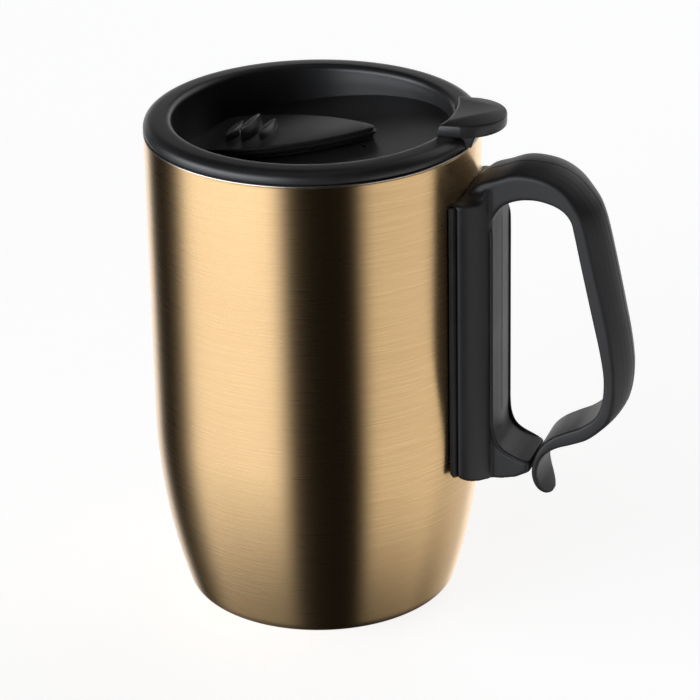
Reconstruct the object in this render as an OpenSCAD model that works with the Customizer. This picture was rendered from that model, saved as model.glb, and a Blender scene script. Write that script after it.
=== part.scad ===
// Double-walled steel tumbler with a push-in lid, a sliding drink cover and a strap handle
// whose lower end is a sprung clip. The origin is the centre of the base on the standing face,
// +Z points up the cup and the handle lies along +X. All sizes are in millimetres.

/* [Cup] */
// Height of the steel cup from the standing face to the rim
cup_h = 126; // [100:1:180]
// Radius of the straight upper wall
rim_r = 42.4; // [36:0.2:50]
// Height below which the wall curves inward
bend_z = 50; // [30:1:80]
// Radius of that long curve in side view
bend_r = 160; // [120:5:260]
// Rounding between wall and base
foot_r = 4; // [2:0.5:8]
// Thickness of the outer steel sheet
shell_t = 0.6; // [0.4:0.1:1.2]
// Thickness of the inner steel sheet
liner_t = 0.5; // [0.4:0.1:1]
// Vacuum gap between the two walls
vacuum_gap = 2.2; // [1.5:0.1:5]
// Height of the underside of the liner's floor
liner_z = 7; // [5:0.5:15]

/* [Handle] */
// Half width of the strap that forms the grip
strap_w = 8.5; // [6:0.5:12]
// Half angle of the mounting strip around the cup
seat_angle = 20.8; // [12:0.2:26]
// Distance from the cup axis to the bar's outward face
bar_x = 49; // [46:0.5:56]
// Height of the flat top of the bar
bar_top = 113.6; // [90:0.2:120]
// Distance from the cup axis to the end of the lower stub
stub_x = 58.6; // [52:0.2:64]
// Radius of the handle screw's shank
screw_r = 1.25; // [1:0.05:2]

/* [Lid] */
// Angle by which the lid is turned from the handle
lid_turn = 3.5; // [-180:0.5:180]
// Height of the lid's rim above the steel rim
lid_rise = 3.4; // [2:0.2:8]
// Inner radius of the lid's rim
recess_r = 35.2; // [30:0.2:38]
// Height of the recess floor on the lid's axis
floor_z = 121.9; // [112:0.1:124]
// Slope of the recess floor, rising towards the thumb tab
floor_slope = 7; // [0:0.5:10]
// Thickness of the recess floor
floor_t = 1.8; // [1.2:0.1:3]
// Lower end of the lid's plug
plug_z = 109; // [100:0.5:116]

/* [Slider] */
// Radius of the two long edges of the leaf-shaped plate
leaf_r = 53; // [40:1:80]
// Half width of the plate at its widest place
leaf_w = 13.3; // [9:0.1:16]
// Distance from the lid's axis to the widest place
leaf_x = 17; // [10:0.5:20]
// Travel from closed to fully open
slide_travel = 13; // [8:0.5:14]
// Distance between neighbouring finger fins
fin_pitch = 4.3; // [3.5:0.1:6]

/* [Hidden] */
$fn = 96;
fit = 0.3;
weld = 0.05;
clear = 0.15;
liner_off = shell_t + vacuum_gap;
slot_r = 2;
post_r = 1.7;
screw_x = 46.2;
head_r = 2.1;
posts = [-12, -2];
fins = [[-1, 5.4, 2.0], [0, 6.3, 3.4], [1, 5.4, 2.1]];
fin_w = 2.0;
fin_turn = 8;

// Strap stations: inner edge x and z, outer edge x and z, half width, crown height.
GRIP_KNOTS = [
    [46.6, 99.0, 42.9, 114.6, strap_w, 0.7],
    [47.6, 104.0, 43.9, 116.3, strap_w, 0.8],
    [48.8, 108.4, 46.0, 118.1, strap_w, 0.9],
    [51.3, 112.3, 49.8, 119.4, strap_w, 1.0],
    [55.2, 114.3, 54.2, 121.0, strap_w, 1.1],
    [59.6, 114.9, 58.8, 121.1, strap_w, 1.3],
    [63.6, 114.3, 63.6, 119.9, strap_w, 1.9],
    [66.8, 112.8, 67.7, 117.2, strap_w, 2.6],
    [68.8, 110.4, 70.7, 113.0, strap_w, 3.1],
    [69.7, 107.2, 72.5, 108.6, strap_w, 3.4],
    [71.7, 98.0, 74.9, 98.4, strap_w, 3.5],
    [74.6, 85.0, 78.1, 85.4, strap_w, 3.0],
    [76.5, 76.5, 79.7, 76.7, strap_w, 3.1],
    [77.6, 69.6, 80.4, 69.4, strap_w, 3.1],
    [77.5, 64.0, 80.4, 62.8, strap_w, 2.3],
    [76.6, 60.3, 79.2, 57.8, strap_w, 1.2],
    [75.0, 57.6, 77.0, 54.8, 8.3, 0.5]
];
CLIP_KNOTS = [
    [77.5, 64.0, 80.4, 62.8, strap_w, 2.3],
    [76.6, 60.3, 79.2, 57.8, strap_w, 1.2],
    [75.0, 57.6, 77.0, 54.8, 8.3, 0.5],
    [71.6, 54.8, 73.4, 51.6, 7.9, 0.3],
    [67.8, 52.9, 69.2, 49.6, 7.7, 0.2],
    [64.4, 51.0, 66.0, 48.3, 7.5, 0.2],
    [61.8, 48.6, 63.5, 46.8, 7.5, 0.2],
    [60.0, 45.4, 61.6, 44.7, 7.5, 0.2],
    [59.1, 42.2, 60.6, 42.1, 7.2, 0.2],
    [59.0, 39.4, 60.4, 39.6, 7.0, 0.2],
    [59.6, 36.9, 60.9, 37.3, 6.6, 0.2],
    [60.6, 34.9, 61.7, 35.6, 5.6, 0.2],
    [61.7, 33.4, 62.6, 34.1, 3.8, 0.15],
    [62.4, 32.6, 63.2, 33.3, 1.6, 0.1]
];

// Top of the bar where it rises to the arch: its crown spans the whole width.
CAP_KNOTS = [
    [34.0, 110, 34.0, 112.2, 15, 2.85],
    [37.0, 110, 37.0, 112.8, 15, 2.85],
    [39.9, 110, 39.9, 113.4, 15, 2.85],
    [42.5, 110, 42.5, 114.0, 15, 2.85],
    [44.2, 110, 44.2, 114.7, 15, 2.85],
    [45.9, 110, 45.9, 116.2, 15, 2.85],
    [47.3, 110, 47.3, 116.9, 15, 2.85],
    [49.8, 110, 49.8, 117.5, 15, 2.85],
    [52.0, 110, 52.0, 118.3, 15, 2.85]
];
STRAP_STEPS = 5;
CROWN_STEPS = 8;

// Wall radius at height z, measured inward from the outside face by off.
function wall_r(z, off) = z >= bend_z
    ? rim_r - off
    : rim_r - bend_r + sqrt(pow(bend_r - off, 2) - pow(bend_z - z, 2));

// Rising wall points from z0 to z1, closely spaced only where the wall curves.
function wall_rise(z0, z1, off) = concat(
    [for (i = [0 : 12]) let (z = z0 + (bend_z - z0) * i / 12) [wall_r(z, off), z]],
    [[wall_r(z1, off), z1]]);

// Angle of the wall's slope at height z.
function lean(z, off) = asin((bend_z - z) / (bend_r - off));

// Corner of radius r between a level floor at z0 and the wall.
function corner_a(z0, r, off) = lean(z0 + 0.72 * r, off);
function corner_z(z0, r, off) = z0 + r - r * sin(corner_a(z0, r, off));
function corner_x(z0, r, off) = wall_r(corner_z(z0, r, off), off) - r * cos(corner_a(z0, r, off));
function corner(z0, r, off, cx) = [for (i = [0 : 8])
    let (a = -90 + (90 - corner_a(z0, r, off)) * i / 8) [cx + r * cos(a), z0 + r + r * sin(a)]];

function reverse(v) = [for (i = [len(v) - 1 : -1 : 0]) v[i]];

// Smooth curve through four neighbouring knots; start is how far into the first span it begins.
function blend(a, b, c, d, t) = 0.5 * (2 * b + (c - a) * t + (2 * a - 5 * b + 4 * c - d) * t * t
    + (3 * b - a - 3 * c + d) * t * t * t);
function stations(k, start) = concat(
    [for (i = [1 : len(k) - 3]) for (j = [0 : STRAP_STEPS - 1])
        let (t = i > 1 ? j / STRAP_STEPS : start + (1 - start) * j / STRAP_STEPS)
            blend(k[i - 1], k[i], k[i + 1], k[i + 2], t)],
    [k[len(k) - 2]]);

// One cross-section of the strap: flat inside, crowned outside.
function section(s) = let (
    run = [s[2] - s[0], s[3] - s[1]],
    u = run / norm(run),
    w = s[4],
    e = min(0.5, w / 3)) concat(
    [for (j = [0 : CROWN_STEPS]) let (y = -1 + 2 * j / CROWN_STEPS, c = s[5] * (1 - y * y))
        [s[2] + u[0] * c, w * y, s[3] + u[1] * c]],
    [[s[0] + u[0] * e, w, s[1] + u[1] * e], [s[0], w - e, s[1]],
     [s[0], e - w, s[1]], [s[0] + u[0] * e, -w, s[1] + u[1] * e]]);

module strap(knots, start) {
    st = stations(knots, start);
    n = len(st);
    m = CROWN_STEPS + 5;
    points = [for (s = st) each section(s)];
    sides = [for (i = [0 : n - 2]) for (j = [0 : m - 1]) let (k = (j + 1) % m) each
        [[i * m + j, i * m + k, (i + 1) * m + k], [i * m + j, (i + 1) * m + k, (i + 1) * m + j]]];
    ends = [[for (j = [m - 1 : -1 : 0]) j], [for (j = [0 : m - 1]) (n - 1) * m + j]];
    polyhedron(points = points, faces = concat(sides, ends), convexity = 6);
}

// Side-view outline spread to both sides of the handle's mid-plane.
module side_slab(w, outline) {
    rotate([90, 0, 0])
        translate([0, 0, -w])
            linear_extrude(height = 2 * w, convexity = 4)
                polygon(outline);
}

module slot(r, x0, x1, z0, h) {
    translate([x0, 0, z0])
        cylinder(r = r, h = h);
    translate([x1, 0, z0])
        cylinder(r = r, h = h);
    translate([x0, -r, z0])
        cube([x1 - x0, 2 * r, h]);
}

module outer_shell() {
    cx = corner_x(0, foot_r, 0);
    top = cup_h - liner_t + weld;
    color([0.78, 0.62, 0.38])
        rotate_extrude(convexity = 4)
            polygon(concat(
                [[29.3, 0]],
                corner(0, foot_r, 0, cx),
                wall_rise(corner_z(0, foot_r, 0) + 1, top, 0),
                reverse(wall_rise(corner_z(0, foot_r, 0) + 1, top, shell_t)),
                reverse(corner(shell_t, foot_r - shell_t, shell_t, cx)),
                [[29.3, shell_t]]));
}

module inner_liner() {
    r = 8;
    cx = corner_x(liner_z, r, liner_off);
    color([0.75, 0.75, 0.76])
        rotate_extrude(convexity = 4)
            polygon(concat(
                [[0, liner_z]],
                corner(liner_z, r, liner_off, cx),
                wall_rise(corner_z(liner_z, r, liner_off) + 1, cup_h - liner_t, liner_off),
                [[rim_r + 0.1, cup_h - liner_t], [rim_r + 0.1, cup_h]],
                [[rim_r - liner_off - liner_t + 0.4, cup_h]],
                reverse(wall_rise(corner_z(liner_z, r, liner_off) + 1, cup_h - 0.5, liner_off + liner_t)),
                reverse(corner(liner_z + liner_t, r - liner_t, liner_off + liner_t, cx)),
                [[0, liner_z + liner_t]]));
}

// Closing plate welded inside the shell's turned-in foot, with a dimple for the evacuation hole.
module shell_bottom() {
    t = shell_t;
    z0 = shell_t - weld;
    color([0.7, 0.7, 0.7])
        rotate_extrude(convexity = 4)
            polygon([[1.2, 1.5], [4, 1.5], [5, 2.6], [28, 2.6], [29, z0], [31.4, z0],
                     [31.4, z0 + t], [29.5, z0 + t], [28.5, 2.6 + t], [4.6, 2.6 + t],
                     [3.6, 1.5 + t], [1.2, 1.5 + t]]);
}

module vacuum_seal() {
    color([0.5, 0.5, 0.52])
        union() {
            translate([0, 0, 1.55])
                cylinder(r = 1.25, h = 1.2);
            translate([0, 0, 1.05])
                cylinder(r1 = 2, r2 = 2.6, h = 0.5);
        }
}

module getter() {
    color([0.35, 0.35, 0.36])
        translate([13, 0, 2.6 + shell_t - weld])
            difference() {
                cylinder(r = 5, h = 1.4);
                translate([0, 0, 0.6])
                    cylinder(r = 3.8, h = 1);
            }
}

// Pressed cover over the evacuation hole, flush with the standing face.
module base_disc() {
    color([0.72, 0.72, 0.72])
        rotate_extrude(convexity = 4)
            polygon([[0, 0], [27.4, 0], [27.9, 0.5], [27.9, 2.6 + weld], [27.3, 2.6 + weld],
                     [27.3, 0.6], [0, 0.6]]);
}

// Steel strip welded to the shell, with a T-shaped rib that the handle slides over.
module handle_rail() {
    color([0.7, 0.7, 0.72])
        difference() {
            union() {
                intersection() {
                    difference() {
                        cylinder(r = rim_r + 0.9, h = 200);
                        translate([0, 0, -1])
                            cylinder(r = rim_r - weld, h = 202);
                    }
                    translate([30, -5, 54])
                        cube([20, 10, 52]);
                }
                translate([rim_r + 0.6, -1.2, 54])
                    cube([2.4, 2.4, 52]);
                translate([45.2, -4.2, 50.6])
                    cube([1.2, 8.4, 55.4]);
                translate([rim_r + 1, -4.2, 50.6])
                    cube([4.2, 8.4, 1.6]);
            }
            translate([screw_x, 0, 50])
                cylinder(r = screw_r - weld, h = 3);
        }
}

// Side outline shared by the mounting strip and the bar: rounded at the lower back corner.
function bar_side(top) = [[38, top], [bar_x + 2, top], [bar_x + 2, 38.5], [48.6, 38.3], [46, 38.8],
    [44.6, 39.2], [43.2, 39.8], [42, 40.8], [40, 43.2], [38, 45.4]];

// Plan outline of the bar: curved flanks and a slightly bowed outward face.
module bar_plan() {
    half = 14.9;
    linear_extrude(height = 200)
        polygon([[38, -half], [42.6, -half], [44.2, -14.1], [45.9, -12.6], [47.3, -10.9],
                 [48.2, -9.5], [bar_x - 0.4, -strap_w], [bar_x, -6], [bar_x + 0.3, 0], [bar_x, 6],
                 [bar_x - 0.4, strap_w], [48.2, 9.5], [47.3, 10.9], [45.9, 12.6], [44.2, 14.1],
                 [42.6, half], [38, half]]);
}

module handle_seat() {
    color([0.13, 0.13, 0.14])
        difference() {
            intersection() {
                difference() {
                    cylinder(r = 44.05, h = 200);
                    translate([0, 0, -1])
                        cylinder(r = rim_r + fit, h = 202);
                }
                linear_extrude(height = 200)
                    polygon([[0, 0], [60, -60 * tan(seat_angle)], [60, 60 * tan(seat_angle)]]);
                side_slab(20, bar_side(bar_top));
            }
            translate([40, -5.4, 49.6])
                cube([8, 10.8, 57.6]);
            translate([screw_x, 0, 30])
                cylinder(r = head_r + fit, h = 22);
        }
}

// Bar along the cup, stub at its foot and the arched strap of the grip, one moulding.
module handle_grip() {
    color([0.1, 0.1, 0.11])
        difference() {
            union() {
                intersection() {
                    difference() {
                        bar_plan();
                        translate([0, 0, -1])
                            cylinder(r = 44.05 + clear, h = 202);
                    }
                    side_slab(20, bar_side(bar_top + 0.5));
                }
                // Cap that covers the strip's top and rises to the arch.
                intersection() {
                    difference() {
                        bar_plan();
                        translate([0, 0, -1])
                            cylinder(r = rim_r + fit, h = 202);
                    }
                    translate([30, -20, bar_top + clear])
                        cube([30, 40, 20]);
                    strap(CAP_KNOTS, 0);
                }
                side_slab(7.8, [[46.4, 55], [bar_x - 0.6, 54], [bar_x, 50.6], [49.4, 48.4],
                                [50.4, 46.8], [51.8, 45.6], [53.4, 44.8], [55.2, 44.2],
                                [stub_x, 43.4], [stub_x, 40.5], [57.4, 40.1], [55, 39.1],
                                [51, 38.2], [48.6, 38.1], [46, 38.6], [46, 42]]);
                strap(GRIP_KNOTS, 0);
            }
            translate([43, -1.5, 30])
                cube([2, 3, 76.6]);
            translate([44.9, -4.5, 50.3])
                cube([1.8, 9, 56.3]);
            translate([43, -4.5, 50.3])
                cube([5, 9, 2.2]);
            translate([screw_x, 0, 30])
                cylinder(r = screw_r + clear, h = 24);
            translate([screw_x, 0, 30])
                cylinder(r = head_r + fit, h = 12.3);
        }
}

module handle_screw() {
    color([0.6, 0.6, 0.62])
        difference() {
            union() {
                translate([screw_x, 0, 40.4])
                    cylinder(r = head_r, h = 1.6);
                translate([screw_x, 0, 40.4])
                    cylinder(r = screw_r, h = 13);
            }
            translate([screw_x - 0.35, -1.3, 40])
                cube([0.7, 2.6, 1.2]);
            translate([screw_x - 1.3, -0.35, 40])
                cube([2.6, 0.7, 1.2]);
        }
}

module handle_clip() {
    color([0.12, 0.12, 0.13])
        strap(CLIP_KNOTS, 0.1);
}

// Rim, recess wall and plug as one turned profile.
module lid_body() {
    z0 = cup_h + fit;
    z1 = cup_h + lid_rise;
    rotate_extrude(convexity = 6)
        polygon([[rim_r - 0.2, z0], [rim_r, z0 + 0.3], [rim_r - 0.1, z1 - 1.7], [rim_r - 0.5, z1 - 0.9],
                 [rim_r - 1.3, z1 - 0.25], [rim_r - 2.4, z1], [recess_r + 1.6, z1 + 0.1],
                 [recess_r + 0.6, z1 - 0.1], [recess_r, z1 - 0.8], [recess_r - 0.3, z1 - 2],
                 [recess_r - 1.6, z1 - 11], [recess_r - 2.2, z1 - 14.6], [recess_r - 0.9, plug_z + 0.6],
                 [recess_r - 0.4, plug_z], [36.9, plug_z], [37.4, plug_z + 0.6], [37.4, 112.4],
                 [36, 112.4], [36, 119.6], [37.4, 119.6], [38.4, 121.4], [38.4, z0]]);
}

// Local frame of the sloping recess floor: its top face is the plane z = 0.
module on_floor() {
    translate([0, 0, floor_z])
        rotate([0, -floor_slope, 0])
            children();
}

module thumb_tab() {
    z0 = cup_h + lid_rise - 0.2;
    intersection() {
        translate([38.8, 0, z0])
            cylinder(r = 10.8, h = 3.4);
        difference() {
            translate([30, -10.7, z0])
                cube([20, 21.4, 3.4]);
            translate([0, 0, z0 - 0.01])
                cylinder(r1 = recess_r + 0.4, r2 = recess_r + 1.5, h = 3.5);
        }
    }
    // Rib that carries the tab on the outside of the rim, wider towards the tab.
    side_slab(9.4, [[rim_r - 3, cup_h + 0.6], [rim_r + 0.4, cup_h + 0.6], [rim_r + 1.6, cup_h + lid_rise],
                    [rim_r - 3, cup_h + lid_rise]]);
}

module lid_cap() {
    color([0.1, 0.1, 0.11])
        rotate([0, 0, lid_turn])
            difference() {
                union() {
                    lid_body();
                    intersection() {
                        on_floor()
                            translate([0, 0, -floor_t])
                                cylinder(r = 60, h = floor_t);
                        translate([0, 0, 100])
                            cylinder(r = 35, h = 40);
                    }
                    thumb_tab();
                }
                // Guide slot, drinking hole and vent hole in the floor.
                on_floor() {
                    slot(slot_r, posts[0], posts[1] + slide_travel, -6, 12);
                    slot(4.2, -23, -21.5, -6, 12);
                    translate([-22.2, -7, -6])
                        cylinder(r = 3, h = 12);
                    translate([-22.2, 7, -6])
                        cylinder(r = 3, h = 12);
                    translate([-25.2, -7, -6])
                        cube([6, 14, 12]);
                    translate([15.2, -5.8, -6])
                        cylinder(r = 0.9, h = 12);
                }
            }
}

module lid_gasket() {
    color([0.2, 0.2, 0.21])
        rotate_extrude(convexity = 4)
            polygon([[36 + clear, 112.7], [37.6, 112.7], [37.7, 113.4], [39.05, 114.6],
                     [39.05, 114.9], [37.7, 115.5], [37.7, 116.5], [39.05, 117.7], [39.05, 118],
                     [37.7, 118.6], [37.6, 119.3], [36 + clear, 119.3]]);
}

// Leaf-shaped prism in the floor's frame, drawn in by inset on every side.
module leaf(inset, z0, h) {
    intersection() {
        translate([-leaf_x, leaf_w - leaf_r, z0])
            cylinder(r = leaf_r - inset, h = h);
        translate([-leaf_x, leaf_r - leaf_w, z0])
            cylinder(r = leaf_r - inset, h = h);
        translate([0, 0, z0])
            cylinder(r = 28.2 - inset, h = h);
        translate([-8.6, 0, z0])
            cylinder(r = 25.4 - inset, h = h);
    }
}

// Finger fin: leaf-shaped in plan with blunt ends, falling from its ridge towards the cover's tip.
module fin(w, h) {
    long = w + 0.7;
    plan_r = (long * long + fin_w * fin_w) / (2 * fin_w);
    intersection() {
        translate([-fin_w, -w, 2.9])
            cube([2 * fin_w, 2 * w, h + 0.2]);
        translate([fin_w - plan_r, 0, 2.8])
            cylinder(r = plan_r, h = h + 1);
        translate([plan_r - fin_w / 2, 0, 2.8])
            cylinder(r = plan_r, h = h + 1);
        translate([0.5, 0, 3.1 + h])
            rotate([0, atan(h / (fin_w - 0.5)), 0])
                translate([-14, -10, -20])
                    cube([24, 20, 20]);
    }
}

module slider_plate() {
    color([0.12, 0.12, 0.13])
        rotate([0, 0, lid_turn])
            on_floor()
                union() {
                    leaf(0, 1.3, 1.8);
                    for (f = fins)
                        translate([-15.3 + f[0] * fin_pitch, -1.2, 0])
                            rotate([0, 0, -fin_turn])
                                fin(f[1], f[2]);
                    for (x = posts)
                        translate([x, 0, -4.2])
                            cylinder(r = post_r, h = 6);
                }
}

// Silicone sheet under the plate, with holes for the posts.
module slider_seal() {
    color([0.08, 0.08, 0.09])
        rotate([0, 0, lid_turn])
            on_floor()
                difference() {
                    leaf(0.8, fit, 1 + weld);
                    for (x = posts)
                        translate([x, 0, -1])
                            cylinder(r = post_r + clear, h = 4);
                }
}

module slider_retainer() {
    color([0.14, 0.14, 0.15])
        rotate([0, 0, lid_turn])
            on_floor()
                difference() {
                    slot(4.2, posts[0], posts[1], -floor_t - fit - 1.6, 1.6);
                    for (x = posts)
                        translate([x, 0, -6])
                            cylinder(r = post_r - weld, h = 6);
                }
}

outer_shell();
inner_liner();
shell_bottom();
vacuum_seal();
getter();
base_disc();
handle_rail();
handle_seat();
handle_grip();
handle_screw();
handle_clip();
lid_cap();
lid_gasket();
slider_plate();
slider_seal();
slider_retainer();
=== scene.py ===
"""Steel tumbler with a push-in lid, a sliding drink cover and a strap handle with a sprung clip.

Shapes are worked out in millimetres in the frame of the CAD model and stored in metres.
"""
from math import acos, asin, atan2, cos, pi, radians, sin, sqrt, tan

import bmesh
import bpy
import numpy as np
from mathutils import Matrix, Vector
from mathutils.bvhtree import BVHTree


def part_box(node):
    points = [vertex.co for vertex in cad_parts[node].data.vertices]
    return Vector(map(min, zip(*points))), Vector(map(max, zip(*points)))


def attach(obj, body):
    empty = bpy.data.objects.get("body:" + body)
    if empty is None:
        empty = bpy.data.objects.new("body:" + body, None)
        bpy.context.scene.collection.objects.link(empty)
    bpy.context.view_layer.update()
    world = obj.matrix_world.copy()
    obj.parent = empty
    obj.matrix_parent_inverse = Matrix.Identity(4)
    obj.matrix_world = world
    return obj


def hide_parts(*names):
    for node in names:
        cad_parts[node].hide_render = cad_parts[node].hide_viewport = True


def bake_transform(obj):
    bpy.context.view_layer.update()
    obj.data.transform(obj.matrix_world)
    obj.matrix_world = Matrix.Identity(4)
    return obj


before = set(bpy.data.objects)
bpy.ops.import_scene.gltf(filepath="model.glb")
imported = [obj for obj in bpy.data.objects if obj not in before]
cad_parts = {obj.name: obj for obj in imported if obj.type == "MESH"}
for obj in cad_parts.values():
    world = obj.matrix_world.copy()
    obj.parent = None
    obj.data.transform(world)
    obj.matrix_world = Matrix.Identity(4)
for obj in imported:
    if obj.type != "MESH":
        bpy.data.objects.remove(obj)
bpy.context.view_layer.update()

MM = 0.001


def box_mm(node):
    """Lowest and highest corners of a CAD node, in millimetres."""
    low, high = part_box(node)
    return np.array(low) / MM, np.array(high) / MM


# ---------------------------------------------------------------- sizes taken from the CAD model
SHELL_HIGH = box_mm("outer_shell")[1]
LINER_LOW, LINER_HIGH = box_mm("inner_liner")
LID_LOW, LID_HIGH = box_mm("lid_cap")
SEAT_HIGH = box_mm("handle_seat")[1]

RIM_R = SHELL_HIGH[1]
CUP_H = LINER_HIGH[2]
BEND_Z, BEND_R = 50.0, 160.0
FOOT_R, LINER_FOOT_R = 4.0, 8.0
BASE_R = 29.3
SHELL_T, LINER_T, GAP = 0.6, 0.5, 2.2
LINER_Z = LINER_LOW[2]

LID_TURN = radians(3.5)
SLOPE = radians(7.0)
FLOOR_Z, FLOOR_T = 121.9, 1.8
RECESS_R = 35.2
PLUG_Z = LID_LOW[2]
LID_TOP = CUP_H + 3.4

BAR_TOP = SEAT_HIGH[2]
BAR_X = 49.0
STRAP_W = 8.5
SEAT_ANGLE = radians(20.8)
SEAT_R = 44.05
STUB_X = 58.6

# ---------------------------------------------------------------- mesh helpers


def make(name, verts, faces, sharp=35.0):
    """Object from points in millimetres, shaded smooth except at edges sharper than this angle."""
    mesh = bpy.data.meshes.new(name)
    mesh.from_pydata([tuple(np.asarray(v) * MM) for v in verts], [], faces)
    bm = bmesh.new()
    bm.from_mesh(mesh)
    bmesh.ops.recalc_face_normals(bm, faces=bm.faces)
    bm.to_mesh(mesh)
    bm.free()
    obj = bpy.data.objects.new(name, mesh)
    bpy.context.scene.collection.objects.link(obj)
    shade(obj, sharp)
    return obj


def shade(obj, sharp=35.0):
    """Smooth shading, except at edges sharper than this angle."""
    obj.data.shade_smooth()
    obj.data.set_sharp_from_angle(angle=radians(sharp))


def loft(name, rings, wrap=False, sharp=35.0):
    """Skin over rings of points. A ring of one point closes that end; open ends get flat caps."""
    verts, starts = [], []
    for ring in rings:
        starts.append(len(verts))
        verts.extend(ring)
    faces = []
    count = len(rings)
    pairs = [(i, i + 1) for i in range(count - 1)] + ([(count - 1, 0)] if wrap else [])
    for a, b in pairs:
        na, nb, sa, sb = len(rings[a]), len(rings[b]), starts[a], starts[b]
        for j in range(max(na, nb)):
            k = (j + 1) % max(na, nb)
            if na == 1:
                faces.append((sa, sb + j, sb + k))
            elif nb == 1:
                faces.append((sa + j, sb, sa + k))
            else:
                faces.append((sa + j, sb + j, sb + k, sa + k))
    if not wrap:
        for i in (0, count - 1):
            if len(rings[i]) > 1:
                faces.append(tuple(range(starts[i], starts[i] + len(rings[i]))))
    return make(name, verts, faces, sharp)


def circle(r, z, count):
    """Level ring of points around the Z axis."""
    angles = np.linspace(0, 2 * pi, count, endpoint=False)
    return np.stack([r * np.cos(angles), r * np.sin(angles), np.full(count, z)], 1)


def lathe(name, profile, count=192, wrap=False, sharp=35.0):
    """Profile of (r, z) points turned around the Z axis."""
    rings = [[(0, 0, z)] if r < 1e-6 else circle(r, z, count) for r, z in profile]
    return loft(name, rings, wrap, sharp)


def rounded(corners, closed=False, steps=6):
    """Outline with each corner (x, y, r) rounded to radius r."""
    out, count = [], len(corners)
    for i, (x, y, r) in enumerate(corners):
        p = np.array((x, y), float)
        if r <= 0 or (not closed and i in (0, count - 1)):
            out.append(p)
            continue
        to_a = np.array(corners[i - 1][:2], float) - p
        to_b = np.array(corners[(i + 1) % count][:2], float) - p
        la, lb = np.linalg.norm(to_a), np.linalg.norm(to_b)
        u, v = to_a / la, to_b / lb
        half = acos(max(-1.0, min(1.0, float(u @ v)))) / 2
        if half > radians(89):
            out.extend([p] * (steps + 1))
            continue
        d = min(r / tan(half), 0.49 * la, 0.49 * lb)
        r = d * tan(half)
        centre = p + (u + v) / np.linalg.norm(u + v) * (r / sin(half))
        s, e = p + u * d - centre, p + v * d - centre
        a0, a1 = atan2(s[1], s[0]), atan2(e[1], e[0])
        turn = (a1 - a0 + pi) % (2 * pi) - pi
        out.extend(centre + r * np.array((cos(a0 + turn * k / steps), sin(a0 + turn * k / steps)))
                   for k in range(steps + 1))
    return out


def smooth_through(points, steps=4):
    """Catmull-Rom curve through all the points."""
    p = np.array([points[0], *points, points[-1]], float)
    out = []
    for i in range(1, len(p) - 2):
        for j in range(steps):
            t = j / steps
            a, b, c, d = p[i - 1:i + 3]
            out.append(0.5 * (2 * b + (c - a) * t + (2 * a - 5 * b + 4 * c - d) * t * t
                              + (3 * b - a - 3 * c + d) * t ** 3))
    out.append(p[-2])
    return out


def prism(name, outline, z0, z1, sharp=35.0):
    """Outline in plan carried from z0 to z1."""
    return loft(name, [[(x, y, z) for x, y in outline] for z in (z0, z1)], sharp=sharp)


def joined(name, objs, sharp=35.0):
    """One object from several, which are then removed."""
    bm = bmesh.new()
    for o in objs:
        bm.from_mesh(o.data)
    mesh = bpy.data.meshes.new(name)
    bm.to_mesh(mesh)
    bm.free()
    for o in objs:
        bpy.data.objects.remove(o, do_unlink=True)
    obj = bpy.data.objects.new(name, mesh)
    bpy.context.scene.collection.objects.link(obj)
    shade(obj, sharp)
    return obj


def settle(obj, sharp=35.0):
    """Applies the object's modifiers."""
    bpy.context.view_layer.update()
    done = bpy.data.meshes.new_from_object(obj.evaluated_get(bpy.context.evaluated_depsgraph_get()))
    obj.modifiers.clear()
    done.name = obj.name
    obj.data = done
    shade(obj, sharp)
    return obj


def combine(obj, others, operation, sharp=35.0, solver="EXACT"):
    """Unites with, or cuts away, other closed solids."""
    for other in others:
        m = obj.modifiers.new("combine", "BOOLEAN")
        m.operation, m.solver, m.object = operation, solver, other
        settle(obj, sharp)
        bpy.data.objects.remove(other, do_unlink=True)
    return obj


def relax(obj, rounds, factor=0.5):
    """Evens out each point against its neighbours, which rounds corners and fills inner ones."""
    mesh = obj.data
    count = len(mesh.vertices)
    co = np.empty(count * 3)
    mesh.vertices.foreach_get("co", co)
    co = co.reshape(-1, 3)
    edges = np.empty(len(mesh.edges) * 2, int)
    mesh.edges.foreach_get("vertices", edges)
    a, b = edges[0::2], edges[1::2]
    degree = np.bincount(edges, minlength=count)[:, None]
    for _ in range(rounds):
        total = np.stack([np.bincount(a, co[b, k], count) + np.bincount(b, co[a, k], count)
                          for k in range(3)], 1)
        co += factor * (total / degree - co)
    mesh.vertices.foreach_set("co", co.ravel())
    mesh.update()


def fused(obj, voxel, rounds, sharp=60.0):
    """One skin around overlapping solids, with soft corners and joins."""
    m = obj.modifiers.new("fuse", "REMESH")
    m.mode, m.voxel_size = "VOXEL", voxel * MM
    settle(obj, sharp)
    relax(obj, rounds)
    shade(obj, sharp)
    return obj


def placed(obj, matrix):
    """Moves the object's points, and returns the object."""
    obj.data.transform(matrix)
    obj.data.update()
    return obj


def finish_piece(obj, body, nodes, mat):
    """Material, body and CAD nodes that the piece stands for."""
    obj.data.materials.clear()
    obj.data.materials.append(mat)
    if body:
        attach(obj, body)
    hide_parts(*nodes)
    return obj


# ---------------------------------------------------------------- materials


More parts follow.
